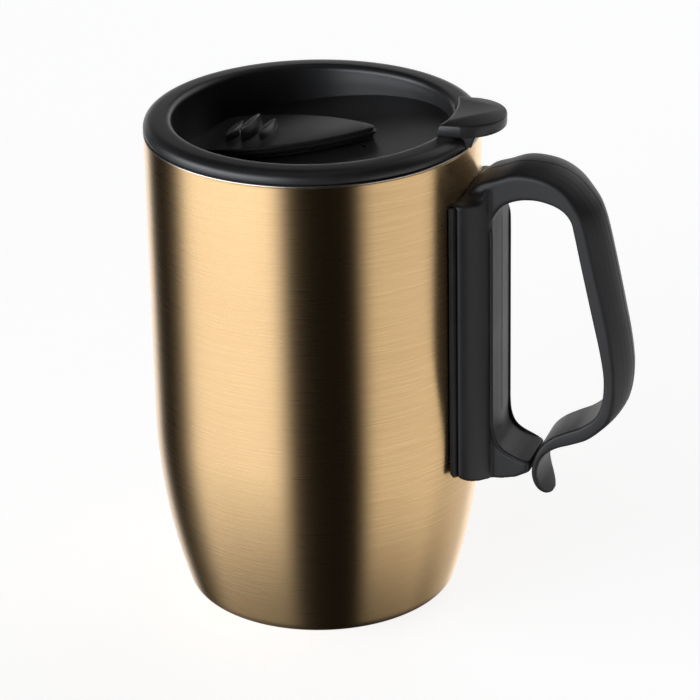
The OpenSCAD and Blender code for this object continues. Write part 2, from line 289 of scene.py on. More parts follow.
class Tree:
    """Short way to add linked shader nodes."""

    def __init__(self, tree):
        self.tree = tree

    def add(self, kind, inputs=None, **settings):
        node = self.tree.nodes.new(kind)
        for key, value in settings.items():
            setattr(node, key, value)
        for key, value in (inputs or {}).items():
            socket = node.inputs[key]
            if isinstance(value, bpy.types.NodeSocket):
                self.tree.links.new(value, socket)
            else:
                socket.default_value = value
        return node

    def math(self, operation, a, b=0.0, c=0.0):
        return self.add("ShaderNodeMath", {0: a, 1: b, 2: c}, operation=operation).outputs[0]

    def noise(self, coords, scale, detail=2.0, rough=0.5, stretch=(1, 1, 1)):
        mapped = self.add("ShaderNodeMapping", {"Vector": coords, "Scale": stretch}).outputs[0]
        return self.add("ShaderNodeTexNoise", {"Vector": mapped, "Scale": scale, "Detail": detail,
                                               "Roughness": rough}).outputs["Fac"]

    def span(self, value, low, high, from_low=0.3, from_high=0.7):
        return self.add("ShaderNodeMapRange", {"Value": value, "From Min": from_low, "From Max": from_high,
                                               "To Min": low, "To Max": high}).outputs["Result"]

    def blend_colours(self, factor, a, b):
        node = self.add("ShaderNodeMix", data_type="RGBA")
        for key, value in ((0, factor), (6, a), (7, b)):
            if isinstance(value, bpy.types.NodeSocket):
                self.tree.links.new(value, node.inputs[key])
            else:
                node.inputs[key].default_value = value
        return node.outputs[2]


def start_material(name, **constants):
    """New material with its shader's constants set, its node helper, its coordinates and its shader."""
    mat = bpy.data.materials.new(name)
    mat.use_nodes = True
    tree = Tree(mat.node_tree)
    shader = mat.node_tree.nodes["Principled BSDF"]
    for key, value in constants.items():
        shader.inputs[key.replace("_", " ")].default_value = value
    coords = tree.add("ShaderNodeTexCoord").outputs["Object"]
    return mat, tree, coords, shader


def metal(name, colour_a, colour_b, rough, bump=1.1e-6, anisotropy=0.85, around=True, fine=14000):
    """Brushed metal. The brush marks run around the Z axis, or along X when around is False."""
    mat, t, coords, shader = start_material(
        name, Metallic=1.0, Anisotropic=anisotropy, Anisotropic_Rotation=0.25 if around else 0.0)
    link = mat.node_tree.links.new
    stretch = (0.006, 0.006, 1.0) if around else (0.006, 1.0, 1.0)
    lines = t.noise(coords, fine, 3.0, 0.65, stretch)
    streaks = t.noise(coords, fine * 0.3, 4.0, 0.6, (0.01, 0.01, 1.0) if around else (0.01, 1.0, 1.0))
    cloud = t.noise(coords, 28.0, 2.0)
    mixed = t.math("MULTIPLY_ADD", streaks, 0.4, t.math("MULTIPLY", lines, 0.6))
    link(t.blend_colours(t.span(mixed, 0.0, 1.0, 0.38, 0.62), colour_a, colour_b),
         shader.inputs["Base Color"])
    grain = t.span(mixed, rough - 0.02, rough + 0.02, 0.38, 0.62)
    link(t.math("MULTIPLY_ADD", cloud, 0.03, grain), shader.inputs["Roughness"])
    height = t.math("MULTIPLY_ADD", streaks, 0.4, lines)
    link(t.add("ShaderNodeBump", {"Height": height, "Distance": bump, "Strength": 1.0}).outputs[0],
         shader.inputs["Normal"])
    if around:
        tangent = t.add("ShaderNodeTangent", direction_type="RADIAL", axis="Z")
        link(tangent.outputs[0], shader.inputs["Tangent"])
    return mat


def plastic(name, colour, rough, grain=3200.0, depth=3e-6):
    """Moulded plastic with a fine eroded grain, faint handling marks and uneven gloss."""
    mat, t, coords, shader = start_material(name)
    link = mat.node_tree.links.new
    fine = t.noise(coords, grain, 3.0, 0.6)
    broad = t.noise(coords, 60.0, 3.0, 0.55)
    rub = t.noise(coords, 420.0, 4.0, 0.7, (1.0, 0.15, 0.6))
    dark = [c * 0.8 for c in colour[:3]] + [1.0]
    light = [c * 1.25 for c in colour[:3]] + [1.0]
    tone = t.math("MULTIPLY_ADD", rub, 0.4, t.math("MULTIPLY", broad, 0.6))
    link(t.blend_colours(t.span(tone, 0.0, 1.0, 0.35, 0.65), dark, light), shader.inputs["Base Color"])
    gloss = t.math("MULTIPLY_ADD", rub, 0.04, t.span(broad, rough - 0.04, rough + 0.02))
    link(gloss, shader.inputs["Roughness"])
    link(t.add("ShaderNodeBump", {"Height": t.math("MULTIPLY_ADD", broad, 0.8, fine), "Distance": depth,
                                  "Strength": 1.0}).outputs[0], shader.inputs["Normal"])
    return mat


def rubber(name, colour, rough):
    """Silicone: matt, slightly dusty, with a soft sheen."""
    mat, t, coords, shader = start_material(name, Sheen_Weight=0.15, Sheen_Roughness=0.4)
    link = mat.node_tree.links.new
    dust = t.noise(coords, 900.0, 4.0, 0.7)
    broad = t.noise(coords, 90.0, 2.0)
    lighter = [c * 1.6 + 0.004 for c in colour[:3]] + [1.0]
    link(t.blend_colours(t.span(dust, 0.0, 1.0, 0.45, 0.75), colour, lighter), shader.inputs["Base Color"])
    link(t.span(broad, rough - 0.08, rough + 0.06), shader.inputs["Roughness"])
    link(t.add("ShaderNodeBump", {"Height": dust, "Distance": 8e-6, "Strength": 1.0}).outputs[0],
         shader.inputs["Normal"])
    return mat


GOLD = metal("gold_brushed_steel", (0.80, 0.545, 0.285, 1), (0.70, 0.46, 0.22, 1), 0.27)
STEEL = metal("satin_steel", (0.66, 0.65, 0.63, 1), (0.5, 0.49, 0.48, 1), 0.3, anisotropy=0.7)
BASE_STEEL = metal("pressed_base_steel", (0.6, 0.59, 0.57, 1), (0.46, 0.45, 0.44, 1), 0.34, around=False,
                   fine=4200)
HIDDEN_STEEL = metal("mill_steel", (0.5, 0.5, 0.5, 1), (0.36, 0.36, 0.36, 1), 0.42, anisotropy=0.3,
                     around=False)
RAIL_STEEL = metal("bright_rail_steel", (0.62, 0.62, 0.62, 1), (0.5, 0.5, 0.5, 1), 0.3, anisotropy=0.4)
SCREW_STEEL = metal("screw_zinc", (0.6, 0.61, 0.63, 1), (0.42, 0.43, 0.45, 1), 0.3, anisotropy=0.4)
SOLDER = metal("glass_solder", (0.3, 0.31, 0.32, 1), (0.2, 0.2, 0.21, 1), 0.5, anisotropy=0.0, bump=2e-5,
               around=False, fine=1500)
GETTER = metal("getter_alloy", (0.22, 0.2, 0.19, 1), (0.12, 0.11, 0.1, 1), 0.55, anisotropy=0.0, bump=3e-5,
               around=False, fine=2200)
LID_BLACK = plastic("lid_polypropylene", (0.013, 0.0128, 0.0133, 1), 0.38)
SLIDER_BLACK = plastic("slider_polypropylene", (0.02, 0.0198, 0.0204, 1), 0.34)
HANDLE_BLACK = plastic("handle_polypropylene", (0.0095, 0.0093, 0.0102, 1), 0.5)
SEAT_BLACK = plastic("seat_polypropylene", (0.0095, 0.0094, 0.01, 1), 0.46)
RETAINER_BLACK = plastic("retainer_polypropylene", (0.01, 0.01, 0.011, 1), 0.46)
SILICONE = rubber("gasket_silicone", (0.02, 0.02, 0.022, 1), 0.58)
SEAL = rubber("slider_seal_silicone", (0.008, 0.008, 0.009, 1), 0.6)

# ---------------------------------------------------------------- cup


def wall_r(z, off):
    """Radius, at height z, of the wall set in by off: upright above the bend, curving in below it."""
    if z >= BEND_Z:
        return RIM_R - off
    return RIM_R - BEND_R + sqrt((BEND_R - off) ** 2 - (BEND_Z - z) ** 2)


def wall(z0, z1, off, rise=18):
    """Wall points from z0 up to z1, closely spaced where the wall curves."""
    low = [(wall_r(z, off), z) for z in np.linspace(z0, BEND_Z, rise)]
    return low + [(wall_r(z, off), z) for z in np.linspace(BEND_Z, z1, 8)[1:]]


def foot(z0, r, off, steps=10):
    """Rounded corner between a level floor at z0 and the wall."""
    lean = (BEND_Z - z0 - 0.72 * r) / (BEND_R - off)
    top = acos(sqrt(1 - lean ** 2))
    z = z0 + r - r * sin(top)
    centre = wall_r(z, off) - r * cos(top)
    angles = np.linspace(-pi / 2, -top, steps)
    return [(centre + r * cos(a), z0 + r + r * sin(a)) for a in angles]


shell_foot = foot(0, FOOT_R, 0)
shell_top = CUP_H - LINER_T
shell_inner = foot(SHELL_T, FOOT_R - SHELL_T, SHELL_T)
shell_profile = ([(BASE_R, 0.25), (BASE_R + 0.2, 0.05), (BASE_R + 0.5, 0)] + shell_foot
                 + wall(shell_foot[-1][1] + 1, shell_top - 0.15, 0) + [(RIM_R - 0.12, shell_top)]
                 + wall(shell_inner[-1][1] + 1, shell_top, SHELL_T)[::-1] + shell_inner[::-1]
                 + [(BASE_R, SHELL_T)])
outer_shell = lathe("cup_shell", shell_profile, 256, wrap=True)
finish_piece(outer_shell, "mug", ["outer_shell"], GOLD)

liner_off = SHELL_T + GAP
liner_r = RIM_R - liner_off
outside = foot(LINER_Z, LINER_FOOT_R, liner_off)
inside = foot(LINER_Z + LINER_T, LINER_FOOT_R - LINER_T, liner_off + LINER_T)
lip = rounded([(liner_r, CUP_H - 3, 0), (liner_r, CUP_H - LINER_T, 0.3), (RIM_R + 0.1, CUP_H - LINER_T, 0.2),
               (RIM_R + 0.1, CUP_H, 0.22), (liner_r - LINER_T, CUP_H, 0.45),
               (liner_r - LINER_T, CUP_H - 3, 0)])
liner_profile = ([(0, LINER_Z)] + outside + wall(outside[-1][1] + 1, CUP_H - 5, liner_off)
                 + [tuple(p) for p in lip]
                 + wall(inside[-1][1] + 1, CUP_H - 5, liner_off + LINER_T)[::-1] + inside[::-1]
                 + [(6, LINER_Z + LINER_T + 0.25), (0, LINER_Z + LINER_T + 0.3)])
inner_liner = lathe("cup_liner", liner_profile, 256)
finish_piece(inner_liner, "mug", ["inner_liner"], STEEL)

# ---------------------------------------------------------------- lid

TO_LID = Matrix.Rotation(LID_TURN, 4, "Z")
TO_FLOOR = TO_LID @ Matrix.Translation((0, 0, FLOOR_Z * MM)) @ Matrix.Rotation(-SLOPE, 4, "Y")
LID_COUNT = 240

RIM_CURVE = smooth_through([(38.4, 126.3), (39.6, 126.3), (41.6, 126.3), (42.2, 126.36), (42.4, 126.7),
                            (42.38, 127.3), (42.2, 128.0), (41.8, 128.62), (41.1, 129.12), (40.1, 129.38),
                            (38.6, 129.47), (37.2, 129.5), (36.4, 129.45), (35.85, 129.25), (35.45, 128.85),
                            (35.2, 128.3), (35.08, 127.6)], 3)
PLUG_CURVE = rounded([(33.0, 114.8, 0), (34.3, PLUG_Z + 0.6, 0.5), (34.8, PLUG_Z, 0.4), (36.9, PLUG_Z, 0.4),
                      (37.4, PLUG_Z + 0.6, 0.4), (37.4, 112.4, 0.15), (36, 112.4, 0.2), (36, 119.6, 0.2),
                      (37.4, 119.6, 0.2), (38.4, 121.4, 0.5), (38.4, 126.2, 0)], steps=3)
WALL_Z = np.array([114.8, 118.4, 127.4, 129.5])
WALL_R = np.array([33.0, 33.6, 34.98, 35.2])


def recess_r(z):
    """Radius of the recess wall at height z."""
    return float(np.interp(z, WALL_Z, WALL_R))


def meeting(slope, drop):
    """Radius and height where the recess wall meets the floor's plane, lowered by drop."""
    r = RECESS_R - 1
    for _ in range(20):
        r = recess_r(FLOOR_Z - drop + r * slope)
    return r, FLOOR_Z - drop + r * slope


def lid_profile(angle):
    """Half section of the lid at this angle, from under the floor's centre round to its top."""
    slope = tan(SLOPE) * cos(angle)
    under = FLOOR_T / cos(SLOPE)
    r0, z0 = meeting(slope, under)
    out = [(r0 * k, FLOOR_Z - under + r0 * k * slope) for k in (0.35, 0.7, 0.93, 1.0)]
    out += [(recess_r(z0 + (115.2 - z0) * k), z0 + (115.2 - z0) * k) for k in (0.4, 0.8)]
    out += [tuple(p) for p in PLUG_CURVE] + [tuple(p) for p in RIM_CURVE]
    r1, z1 = meeting(slope, 0)
    top = RIM_CURVE[-1][1]
    gap = top - z1
    out += [(recess_r(top - gap * k), top - gap * k) for k in (0.25, 0.5, 0.75, 0.95)]
    out.append((r1, z1))
    out += [(r1 * k, FLOOR_Z + r1 * k * slope) for k in (0.985, 0.88, 0.7, 0.35)]
    return out


angles = np.linspace(0, 2 * pi, LID_COUNT, endpoint=False)
profiles = np.array([lid_profile(a) for a in angles])
lid_rings = [[(0, 0, FLOOR_Z - FLOOR_T / cos(SLOPE))]]
for i in range(profiles.shape[1]):
    r, z = profiles[:, i, 0], profiles[:, i, 1]
    lid_rings.append(np.stack([r * np.cos(angles), r * np.sin(angles), z], 1))
lid_rings.append([(0, 0, FLOOR_Z)])
lid = loft("lid_cap_moulding", lid_rings, sharp=30)

# Thumb tab: a rounded half disc on the rim with a sloping inner edge, over a flat rib.
TAB_X, TAB_R, TAB_HALF, TAB_IN = 38.8, 10.8, 10.7, RECESS_R + 1.5
TAB_Z0, TAB_Z1 = LID_TOP - 0.2, LID_HIGH[2]


def tab_outline(inset, foot):
    """Half disc seen from above, drawn in by inset: bowed outer edge, short ends, hollow inner edge."""
    r, half, inner = TAB_R - inset, TAB_HALF - inset, TAB_IN + inset - foot
    end = atan2(half, sqrt(r * r - half * half))
    outer = [(TAB_X + r * cos(a), r * sin(a), 0) for a in np.linspace(-end, end, 41)]
    x_in = sqrt(inner ** 2 - half ** 2)
    reach = atan2(half, x_in)
    hollow = [(inner * cos(a), inner * sin(a), 0) for a in np.linspace(reach, -reach, 21)]
    outline = outer + hollow
    for i, radius in ((0, 0.5), (len(outer) - 1, 0.5), (len(outer), 0.35), (len(outline) - 1, 0.35)):
        outline[i] = (*outline[i][:2], radius)
    return rounded(outline, closed=True, steps=5)


tab_levels = [(0.9, TAB_Z0), (0.4, TAB_Z0 + 0.12), (0.1, TAB_Z0 + 0.4), (0.0, TAB_Z0 + 0.8),
              (0.0, TAB_Z1 - 0.45), (0.06, TAB_Z1 - 0.25), (0.2, TAB_Z1 - 0.08), (0.42, TAB_Z1)]
tab = loft("tab", [[(x, y, z) for x, y in tab_outline(i, 1.2 * (TAB_Z1 - z) / (TAB_Z1 - TAB_Z0))]
                   for i, z in tab_levels], sharp=24)

RIB_HALF, RIB_DEPTH = 9.4, 3.0
rib_rings = []
for out, z in ((0.4, 126.7), (1.0, 128.5), (1.6, TAB_Z0 + 0.5)):
    corners = [(RIM_R + out, -RIB_HALF, 0.4), (RIM_R + out, RIB_HALF, 0.4),
               (RIM_R - RIB_DEPTH, RIB_HALF, 0), (RIM_R - RIB_DEPTH, -RIB_HALF, 0)]
    rib_rings.append([(x, y, z) for x, y in rounded(corners, closed=True)])
rib = loft("rib", rib_rings, sharp=30)
combine(lid, [rib, tab], "UNION", 26)


def on_plan(name, outline, z0, z1):
    """Prism that stands square to the sloping floor."""
    return placed(prism(name, outline, z0, z1), Matrix.Translation((0, 0, FLOOR_Z * MM))
                  @ Matrix.Rotation(-SLOPE, 4, "Y"))


DRINK_X, DRINK_HALF, DRINK_R = -22.2, 10.0, 3.0
BULGE_R, BULGE_OUT = 4.2, 0.6


def drink_hole(steps=24):
    """Oval drinking hole with a wider middle."""
    ys = DRINK_HALF * np.sin(np.linspace(-pi / 2, pi / 2, steps))
    half = [sqrt(max(0.0, DRINK_R ** 2 - max(0.0, abs(y) - (DRINK_HALF - DRINK_R)) ** 2)) for y in ys]
    bulge = [sqrt(max(0.0, BULGE_R ** 2 - y * y)) + BULGE_OUT if abs(y) < BULGE_R else 0 for y in ys]
    reach = [max(a, b) for a, b in zip(half, bulge)]
    right = [(DRINK_X + h, y) for h, y in zip(reach, ys)]
    left = [(DRINK_X - h, y) for h, y in zip(reach[1:-1], ys[1:-1])]
    return right + left[::-1]


def stadium(r, x0, x1, steps=20):
    """Slot outline with round ends centred on x0 and x1."""
    right = [(x1 + r * cos(a), r * sin(a)) for a in np.linspace(-pi / 2, pi / 2, steps)]
    left = [(x0 + r * cos(a), r * sin(a)) for a in np.linspace(pi / 2, 3 * pi / 2, steps)]
    return right + left


VENT_X, VENT_Y, VENT_R = 15.2, -5.8, 0.9
SLOT_R, SLOT_X0, SLOT_X1 = 2.0, -12, 11
CUT_DEPTH = 6
vent = [(VENT_X + VENT_R * cos(a), VENT_Y + VENT_R * sin(a))
        for a in np.linspace(0, 2 * pi, 32, endpoint=False)]
floor_cuts = (("slot", stadium(SLOT_R, SLOT_X0, SLOT_X1)), ("drink", drink_hole()), ("vent", vent))
combine(lid, [on_plan(name, outline, -CUT_DEPTH, CUT_DEPTH) for name, outline in floor_cuts],
        "DIFFERENCE", 30)
placed(lid, TO_LID)
finish_piece(lid, "lid", ["lid_cap"], LID_BLACK)

gasket_profile = rounded([(36.15, 112.7, 0.1), (37.6, 112.7, 0.2), (37.7, 113.5, 0.3),
                          (38.95, 114.55, 0.1), (39.05, 114.9, 0.12), (37.75, 115.6, 0.3),
                          (37.75, 116.6, 0.3), (38.95, 117.65, 0.1), (39.05, 118.0, 0.12),
                          (37.7, 118.7, 0.3), (37.6, 119.3, 0.2), (36.15, 119.3, 0.1)],
                         closed=True, steps=3)
gasket = lathe("lid_seal_ring", gasket_profile, 192, wrap=True)
finish_piece(gasket, "lid", ["lid_gasket"], SILICONE)

# ---------------------------------------------------------------- slider

LEAF_R, LEAF_W, LEAF_X = 53.0, 13.3, 17.0
LEAF_DISCS = [(-LEAF_X, LEAF_W - LEAF_R, LEAF_R), (-LEAF_X, LEAF_R - LEAF_W, LEAF_R), (0, 0, 28.2),
              (-8.6, 0, 25.4)]
PLATE_TOP = 3.1
POSTS = (-12.0, -2.0)
FIN_X, FIN_Y, FIN_PITCH, FIN_TURN = -15.3, -1.2, 4.3, radians(8)
FIN_SUNK = 0.2
FIN_SLOPE = ((1, 0), (0.86, 0.35), (0.66, 0.7), (0.45, 0.93), (0.2, 0.99))


def leaf(inset, count=240, soften=60.0):
    """Leaf outline: the shared area of four discs, drawn in by inset, with its corners eased."""
    cx = -5.0
    phi = np.linspace(0, 2 * pi, count, endpoint=False)
    d = np.stack([np.cos(phi), np.sin(phi)], 1)
    total = np.zeros(count)
    for x, y, r in LEAF_DISCS:
        rel = np.array((cx - x, -y))
        b = d @ rel
        reach = -b + np.sqrt(b * b - rel @ rel + (r - inset) ** 2)
        total += reach ** -soften
    reach = total ** (-1 / soften)
    return np.stack([cx + reach * d[:, 0], reach * d[:, 1]], 1)


leaf_levels = [(0.25, 1.3), (0.05, 1.38), (0.0, 1.5), (0.0, 1.95), (0.06, 2.05), (0.42, 2.1), (0.48, 2.16),
               (0.48, 2.8), (0.54, 2.96), (0.7, 3.07), (0.95, PLATE_TOP)]
plate = loft("drink_slider", [[(x, y, z) for x, y in leaf(i)] for i, z in leaf_levels], sharp=28)


def fin(half, height, steps=28):
    """Finger fin: leaf shaped in plan, with blunt ends, a narrow top and one steep side."""
    rings = []
    for s in np.linspace(-1, 1, steps):
        swell = 1 - (s * half / (half + 0.7)) ** 2
        left, right = 0.95 * swell, 1.7 * swell
        top = height * (1 - 0.3 * max(0.0, abs(s) - 0.92) / 0.08) * (1 - 0.08 * s * s)
        ease = 0.3 * min(1.0, swell * 1.5)
        ring = [(right, PLATE_TOP - FIN_SUNK)]
        ring += [(right * across, PLATE_TOP + up * top) for across, up in FIN_SLOPE]
        ring += [(-0.2 * left, PLATE_TOP + top), (-left + ease, PLATE_TOP + top),
                 (-left + 0.1, PLATE_TOP + 0.94 * top), (-left, PLATE_TOP + 0.8 * top),
                 (-left, PLATE_TOP), (-left, PLATE_TOP - FIN_SUNK)]
        rings.append([(px, s * half, pz) for px, pz in ring])
    return loft("fin", rings, sharp=40)


# Place in the row, half length and height of each fin.
fins = [placed(fin(half, height), Matrix.Translation(Vector((FIN_X + k * FIN_PITCH, FIN_Y, 0)) * MM)
               @ Matrix.Rotation(-FIN_TURN, 4, "Z"))
        for k, half, height in ((-1, 5.4, 2.0), (0, 6.3, 3.4), (1, 5.4, 2.1))]
posts = [loft("post", [circle(r, z, 32) + np.array((x, 0, 0)) for r, z in
                       ((1.35, -4.2), (1.62, -4.0), (1.7, -3.8), (1.7, 2.0))]) for x in POSTS]
combine(plate, fins + posts, "UNION", 28)
placed(plate, TO_FLOOR)
finish_piece(plate, "slider", ["slider_plate"], SLIDER_BLACK)

# ---------------------------------------------------------------- handle

# Stations: inner edge x and z, outer edge x and z, half width, crown of the outer face.
GRIP_KNOTS = [
    [46.6, 99.0, 42.9, 114.6, 8.5, 0.7], [47.6, 104.0, 43.9, 116.3, 8.5, 0.8],
    [48.8, 108.4, 46.0, 118.1, 8.5, 0.9], [51.3, 112.3, 49.8, 119.4, 8.5, 1.0],
    [55.2, 114.3, 54.2, 121.0, 8.5, 1.1], [59.6, 114.9, 58.8, 121.1, 8.5, 1.3],
    [63.6, 114.3, 63.6, 119.9, 8.5, 1.9], [66.8, 112.8, 67.7, 117.2, 8.5, 2.6],
    [68.8, 110.4, 70.7, 113.0, 8.5, 3.1], [69.7, 107.2, 72.5, 108.6, 8.5, 3.4],
    [71.7, 98.0, 74.9, 98.4, 8.5, 3.5], [74.6, 85.0, 78.1, 85.4, 8.5, 3.0],
    [76.5, 76.5, 79.7, 76.7, 8.5, 3.1], [77.6, 69.6, 80.4, 69.4, 8.5, 3.1],
    [77.5, 64.0, 80.4, 62.8, 8.5, 2.3], [76.6, 60.3, 79.2, 57.8, 8.5, 1.2],
    [75.0, 57.6, 77.0, 54.8, 8.3, 0.5]]
CLIP_KNOTS = [
    [71.6, 54.8, 73.4, 51.6, 7.9, 0.3], [67.8, 52.9, 69.2, 49.6, 7.7, 0.2],
    [64.4, 51.0, 66.0, 48.3, 7.5, 0.2], [61.8, 48.6, 63.5, 46.8, 7.5, 0.2],
    [60.0, 45.4, 61.6, 44.7, 7.5, 0.2], [59.1, 42.2, 60.6, 42.1, 7.2, 0.2],
    [59.0, 39.4, 60.4, 39.6, 7.0, 0.2], [59.6, 36.9, 60.9, 37.3, 6.6, 0.2],
    [60.6, 34.9, 61.7, 35.6, 5.6, 0.2], [61.7, 33.4, 62.6, 34.1, 3.8, 0.15],
    [62.4, 32.6, 63.2, 33.3, 1.6, 0.1]]
CUT_AT, CUT_TO = np.array((78.9, 0, 62.5)), np.array((74.2, 0, 54.6))
CUT_FROM_X = 66.0
CLIP_BELOW_Z = 70.0
SWEEP_X, SWEEP_RUN, SWEEP_Z = 58.0, 5.0, 56.0


def strap_section(k, inner=0.75, outer=1.6):
    """Strap outline at one station: flat inside, crowned outside, all four corners rounded."""
    start, end, w, crown = np.array(k[0:2]), np.array(k[2:4]), k[4], k[5]
    run = end - start
    thick = np.linalg.norm(run)
    u = run / thick
    inner, outer = min(inner, 0.45 * thick, 0.4 * w), min(outer, 0.45 * thick, 0.4 * w)
    ys = w * np.array((-0.8, -0.6, -0.4, -0.2, 0, 0.2, 0.4, 0.6, 0.8))
    corners = [(w, 0, inner), (w, thick, outer)]
    corners += [(y, thick + crown * (1 - (y / w) ** 2), 0) for y in ys[::-1]]
    corners += [(-w, thick, outer), (-w, 0, inner)]
    return [(start[0] + u[0] * t, y, start[1] + u[1] * t) for y, t in rounded(corners, closed=True, steps=5)]


def strap(name, knots, steps):
    """Sweep through the stations."""
    return loft(name, [strap_section(k) for k in smooth_through(knots, steps)], sharp=60)


def cut_off(obj, keep_before):
    """Cuts the strap across at the clip's root, past the bar and the stub, and closes the cut."""
    bm = bmesh.new()
    bm.from_mesh(obj.data)
    normal = Vector(CUT_TO - CUT_AT).normalized()
    near = [f for f in bm.faces if f.calc_center_median().x > CUT_FROM_X * MM]
    geom = near + list({e for f in near for e in f.edges}) + list({v for f in near for v in f.verts})
    bmesh.ops.bisect_plane(bm, geom=geom, dist=1e-7, plane_co=Vector(CUT_AT) * MM, plane_no=normal,
                           clear_outer=keep_before, clear_inner=not keep_before)
    open_edges = [e for e in bm.edges if e.is_boundary]
    bmesh.ops.holes_fill(bm, edges=open_edges, sides=0)
    bmesh.ops.recalc_face_normals(bm, faces=bm.faces)
    bm.to_mesh(obj.data)
    bm.free()
    shade(obj, 50)


# Bar: a vertical moulding with curved flanks, a hollow back that fits the mounting strip and a crowned
# cap that covers the strip's top and rises to the arch.
BAR_BACK = SEAT_R + 0.12
SIDE_X = [38, 40, 41.5, 43, 44.6, 46.2, 48.6, 51]
SIDE_Z = [43.4, 41.4, 40.2, 39.3, 38.7, 38.3, 37.9, 37.8]
CAP_X = [38, 39.9, 42.5, 44.2, 46, 48, 49.8]
CAP_Z = [115.85, 116.2, 116.5, 116.9, 117.7, 118.7, 119.6]
FLANK = [(42.6, 14.9), (44.2, 14.1), (45.9, 12.6), (47.3, 10.9), (48.2, 9.5), (BAR_X - 0.4, STRAP_W)]
# Rounding of the bar's foot and of the cap's edge: share of the width, and rise or drop there.
FOOT_EDGE = ((0.01, 0), (0.3, 0), (0.6, 0), (0.9, 0), (0.95, 0.1), (0.985, 0.45), (1, 1.1))
CAP_EDGE = ((1, 1.6), (0.985, 0.8), (0.955, 0.3), (0.93, 0.08), (0.88, 0), (0.66, 0), (0.44, 0),
            (0.22, 0), (0.01, 0))
STUB_EDGE = [(-7.8, 0.9), (-7.4, 0.4), (-6.9, 0.1), (-6, 0)]
SCREW_X, SCREW_HOLE_R, SCREW_HOLE_Z = 46.2, 2.4, (30, 42.3)


def foot_z(x):
    """Height of the lower edge of the bar's flanks."""
    return float(np.interp(x, SIDE_X, SIDE_Z))


def bar_outline(back_r):
    """Plan of the bar: curved flanks, crowned face and a hollow back of radius back_r."""
    flank = [tuple(p) for p in smooth_through(FLANK, 6)]
    face = [(BAR_X - 0.04, 7.4), (BAR_X, 6), (BAR_X + 0.2, 3), (BAR_X + 0.3, 0),
            (BAR_X + 0.2, -3), (BAR_X, -6), (BAR_X - 0.04, -7.4)]
    front = flank + face + [(x, -y) for x, y in flank[::-1]]
    ends = asin(FLANK[0][1] / back_r)
    back = [(back_r * cos(a), back_r * sin(a)) for a in np.linspace(-ends, ends, 40)]
    return front + back


def cap_height(x, y):
    """Height of the cap's skin: crowned across, with shoulders that fall away on both sides of the arch."""
    fall = 0.22 * max(0.0, abs(y) - 8) ** 2 * min(1.0, max(0.0, (x - 43) / 3))
    return max(BAR_TOP + 0.7, float(np.interp(x, CAP_X, CAP_Z)) - 0.017 * y * y - fall)


plan = bar_outline(BAR_BACK)
bar_rings = [[(x, y * across, foot_z(x) + lift) for x, y in plan] for across, lift in FOOT_EDGE]
bar_rings += [[(x, y, z) for x, y in plan] for z in (50, 60, 75, 90, 105)]
bar_rings += [[(x, y, BAR_TOP + 0.6) for x, y in plan]]
bar = loft("bar", bar_rings)
plan = bar_outline(RIM_R + 0.3)
cap_rings = [[(x, y, BAR_TOP + 0.15) for x, y in plan]]
for across, drop in CAP_EDGE:
    cap_rings.append([(x, y * across, max(BAR_TOP + 0.2, cap_height(x, y * across) - drop))
                      for x, y in plan])
cap = loft("cap", cap_rings)
stub_side = rounded([(46.4, 55, 0), (BAR_X - 0.6, 54, 0), (BAR_X, 50.6, 1), (49.4, 48.4, 1),
                     (50.4, 46.8, 1), (51.8, 45.6, 1), (53.4, 44.8, 1), (55.2, 44.2, 1),
                     (STUB_X, 43.4, 0.35), (STUB_X, 40.5, 0.5), (57.4, 40.1, 1), (55, 38.8, 1),
                     (51, 37.9, 1), (48.6, 37.75, 1), (46, 38.2, 0), (45.2, 46, 0)],
                    closed=True, steps=5)
stub_edges = STUB_EDGE + [(-y, back) for y, back in STUB_EDGE[::-1]]
stub = loft("stub", [[(min(x, STUB_X - back), y, z) for x, z in stub_side] for y, back in stub_edges])

# The hole is cut from the bar only, and the stub covers its outer half.
screw_hole = loft("screw_hole", [circle(SCREW_HOLE_R, z, 48) + np.array((SCREW_X, 0, 0))
                                 for z in SCREW_HOLE_Z])
combine(bar, [screw_hole], "DIFFERENCE", solver="MANIFOLD")
whole_strap = strap("whole_strap", GRIP_KNOTS + CLIP_KNOTS, 8)
handle = fused(joined("handle_moulding", [bar, cap, stub, strap("arch", GRIP_KNOTS, 6)]),
               voxel=0.34, rounds=5)

# Beyond the arch the skin follows the clean sweep, so that it meets the clip without a step.
guide = BVHTree.FromPolygons([v.co for v in whole_strap.data.vertices],
                             [p.vertices for p in whole_strap.data.polygons])
for v in handle.data.vertices:
    weight = max(0.0, min(1.0, (v.co.x / MM - SWEEP_X) / SWEEP_RUN))
    if weight > 0 and v.co.z > SWEEP_Z * MM:
        hit = guide.find_nearest(v.co)[0]
        v.co = v.co.lerp(hit, weight * weight * (3 - 2 * weight))


def tube(name, path, radius, sides=12):
    """Round cord along a path."""
    path = np.array(path, float)
    rings = []
    for i, p in enumerate(path):
        t = path[min(i + 1, len(path) - 1)] - path[max(i - 1, 0)]
        t /= np.linalg.norm(t)
        n = np.cross((0, 1, 0), t)
        n /= np.linalg.norm(n)
        m = np.cross(t, n)
        rings.append([p + radius * (cos(a) * n + sin(a) * m)
                      for a in np.linspace(0, 2 * pi, sides, endpoint=False)])
    return loft(name, rings, sharp=60)


# Bead along both edges of the outward face, running on along the stub's upper edges.
BEAD = [(47.9, 7.7, 107.5), (48.6, 8.1, 105.5), (48.8, 8.25, 102), (48.8, 8.25, 90), (48.8, 8.25, 70),
        (48.8, 8.25, 56), (48.85, 8.2, 53), (49.15, 7.95, 50.4), (49.75, 7.75, 48.4), (50.7, 7.6, 46.8),
        (52.05, 7.55, 45.6), (53.6, 7.5, 44.75), (55.25, 7.45, 44.05), (57.0, 7.3, 43.3)]
BEAD_R = 0.5
beads = [tube("bead", [(x, y * side, z) for x, y, z in smooth_through(BEAD, 5)], BEAD_R)
         for side in (-1, 1)]

